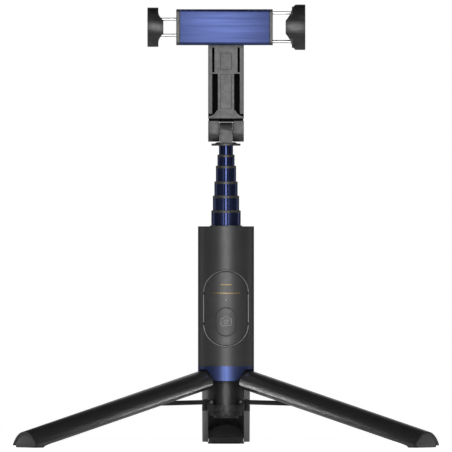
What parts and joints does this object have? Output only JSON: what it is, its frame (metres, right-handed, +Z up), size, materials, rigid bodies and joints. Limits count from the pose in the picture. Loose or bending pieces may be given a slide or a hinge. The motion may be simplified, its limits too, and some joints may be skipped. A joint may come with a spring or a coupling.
{
  "type": "selfie stick",
  "caption": "Telescoping selfie stick with a folding tripod, a clip-in shutter remote in the handle, a tilting head and a sprung phone clamp.",
  "frame": {"origin": "on the ground, on the axis of the column", "axes": "+Z up along the column, -Y towards the side with the remote and the phone, +X to the right as seen from the front"},
  "size_m": [0.2974, 0.2575, 0.309],
  "materials": {
    "handle_plastic": "matte",
    "black_plastic": "satin",
    "column_black": "satin",
    "collar_blue": "satin",
    "tube_blue": "satin",
    "clamp_blue": "satin",
    "remote_face": "satin",
    "button_plastic": "satin",
    "leg_plastic": "satin",
    "foot_rubber": "matte",
    "strut_metal": "satin",
    "arm_plastic": "matte",
    "jaw_plastic": "satin",
    "pad_rubber": "matte",
    "steel": "satin",
    "cell_steel": "satin",
    "board_green": "gloss",
    "light_pipe": "gloss"
  },
  "bodies": {
    "handle": {"handle_shell": "handle_plastic", "top_bushing": "black_plastic", "dock_bezel": "black_plastic", "column_tube": "column_black", "column_end_cap": "black_plastic", "leg_collar": "collar_blue", "leg_hub": "black_plastic", "leg_hinge_pins": "steel"},
    "remote": {"remote_front": "remote_face", "remote_back": "black_plastic", "remote_board": "board_green", "board_switch": "steel", "coin_cell": "cell_steel", "status_light": "light_pipe"},
    "button": {"shutter_button": "button_plastic"},
    "runner": {"runner": "black_plastic", "strut_pins": "steel"},
    "leg_left": {"leg_left": "leg_plastic", "foot_left": "foot_rubber"},
    "strut_left": {"strut_left": "strut_metal", "slot_pin_left": "steel"},
    "leg_right": {"leg_right": "leg_plastic", "foot_right": "foot_rubber"},
    "strut_right": {"strut_right": "strut_metal", "slot_pin_right": "steel"},
    "leg_back": {"leg_back": "leg_plastic", "foot_back": "foot_rubber"},
    "strut_back": {"strut_back": "strut_metal", "slot_pin_back": "steel"},
    "tube_6": {"tube_6": "tube_blue", "tube_6_bushings": "black_plastic"},
    "tube_5": {"tube_5": "tube_blue", "tube_5_bushings": "black_plastic"},
    "tube_4": {"tube_4": "tube_blue", "tube_4_bushings": "black_plastic"},
    "tube_3": {"tube_3": "tube_blue", "tube_3_bushings": "black_plastic"},
    "tube_2": {"tube_2": "tube_blue", "tube_2_bushings": "black_plastic"},
    "tube_1": {"tube_1": "tube_blue", "tube_1_glide": "black_plastic", "head_base": "arm_plastic"},
    "arm": {"head_arm": "arm_plastic", "tilt_bolt": "steel", "tilt_nut": "steel", "tilt_washers": "black_plastic"},
    "clamp": {"clamp_sleeve": "clamp_blue", "clamp_cap_left": "arm_plastic", "clamp_cap_right": "arm_plastic", "clamp_core": "black_plastic", "swivel_stud": "steel", "swivel_washer": "black_plastic", "left_springs": "steel", "right_springs": "steel"},
    "left_jaw": {"left_jaw": "jaw_plastic", "left_jaw_pad": "pad_rubber", "left_jaw_rods": "steel"},
    "right_jaw": {"right_jaw": "jaw_plastic", "right_jaw_pad": "pad_rubber", "right_jaw_rods": "steel"}
  },
  "joints": [
    {"name": "leg_back_fold", "type": "hinge", "parent": "handle", "child": "leg_back", "pos_m": [0, 0.0151, 0.04973], "axis": [-1, 0, 0], "range_deg": [0, 73.6]},
    {"name": "leg_left_fold", "type": "hinge", "parent": "handle", "child": "leg_left", "pos_m": [-0.01308, -0.00755, 0.04973], "axis": [0.5, -0.866, 0], "range_deg": [0, 73.6]},
    {"name": "leg_right_fold", "type": "hinge", "parent": "handle", "child": "leg_right", "pos_m": [0.01308, -0.00755, 0.04973], "axis": [0.5, 0.866, 0], "range_deg": [0, 73.6]},
    {"name": "runner_slide", "type": "slide", "parent": "handle", "child": "runner", "axis": [0, 0, 1], "range_m": [0, 0.012]},
    {"name": "strut_back_swing", "type": "hinge", "parent": "runner", "child": "strut_back", "pos_m": [0, 0.0144, 0.031], "axis": [-1, 0, 0], "range_deg": [0, 90.71]},
    {"name": "strut_left_swing", "type": "hinge", "parent": "runner", "child": "strut_left", "pos_m": [-0.01247, -0.0072, 0.031], "axis": [0.5, -0.866, 0], "range_deg": [0, 90.71]},
    {"name": "strut_right_swing", "type": "hinge", "parent": "runner", "child": "strut_right", "pos_m": [0.01247, -0.0072, 0.031], "axis": [0.5, 0.866, 0], "range_deg": [0, 90.71]},
    {"name": "tube_6_slide", "type": "slide", "parent": "handle", "child": "tube_6", "axis": [0, 0, 1], "range_m": [-0.0094, 0.095]},
    {"name": "tube_5_slide", "type": "slide", "parent": "tube_6", "child": "tube_5", "axis": [0, 0, 1], "range_m": [-0.0085, 0.095]},
    {"name": "tube_4_slide", "type": "slide", "parent": "tube_5", "child": "tube_4", "axis": [0, 0, 1], "range_m": [-0.0081, 0.095]},
    {"name": "tube_3_slide", "type": "slide", "parent": "tube_4", "child": "tube_3", "axis": [0, 0, 1], "range_m": [-0.0092, 0.095]},
    {"name": "tube_2_slide", "type": "slide", "parent": "tube_3", "child": "tube_2", "axis": [0, 0, 1], "range_m": [-0.006, 0.095]},
    {"name": "tube_1_slide", "type": "slide", "parent": "tube_2", "child": "tube_1", "axis": [0, 0, 1], "range_m": [-0.006, 0.095]},
    {"name": "head_tilt", "type": "hinge", "parent": "tube_1", "child": "arm", "pos_m": [0, 0, 0.22], "axis": [1, 0, 0], "range_deg": [-90, 90]},
    {"name": "clamp_turn", "type": "hinge", "parent": "arm", "child": "clamp", "pos_m": [0, 0, 0.2932], "axis": [0, 1, 0], "continuous": true},
    {"name": "left_jaw_slide", "type": "slide", "parent": "clamp", "child": "left_jaw", "axis": [-1, 0, 0], "range_m": [-0.0088, 0.01], "stiffness_N_per_m": 250, "springref_m": -0.02, "deforming": ["left_springs"]},
    {"name": "right_jaw_slide", "type": "slide", "parent": "clamp", "child": "right_jaw", "axis": [1, 0, 0], "range_m": [-0.0085, 0.01], "stiffness_N_per_m": 250, "springref_m": -0.02, "deforming": ["right_springs"]},
    {"name": "remote_pull", "type": "slide", "parent": "handle", "child": "remote", "axis": [0, -1, 0], "range_m": [0, 0.02]},
    {"name": "button_press", "type": "slide", "parent": "remote", "child": "button", "axis": [0, 1, 0], "range_m": [0, 0.0004], "stiffness_N_per_m": 800, "springref_m": -0.0005}
  ],
  "couplings": [
    {"joint": "leg_left_fold", "follows": "leg_back_fold", "ratio": 1},
    {"joint": "leg_right_fold", "follows": "leg_back_fold", "ratio": 1},
    {"joint": "runner_slide", "follows": "leg_back_fold", "m_per_rad": 0.0093408},
    {"joint": "strut_back_swing", "follows": "leg_back_fold", "ratio": 1.2324},
    {"joint": "strut_left_swing", "follows": "leg_back_fold", "ratio": 1.2324},
    {"joint": "strut_right_swing", "follows": "leg_back_fold", "ratio": 1.2324}
  ]
}
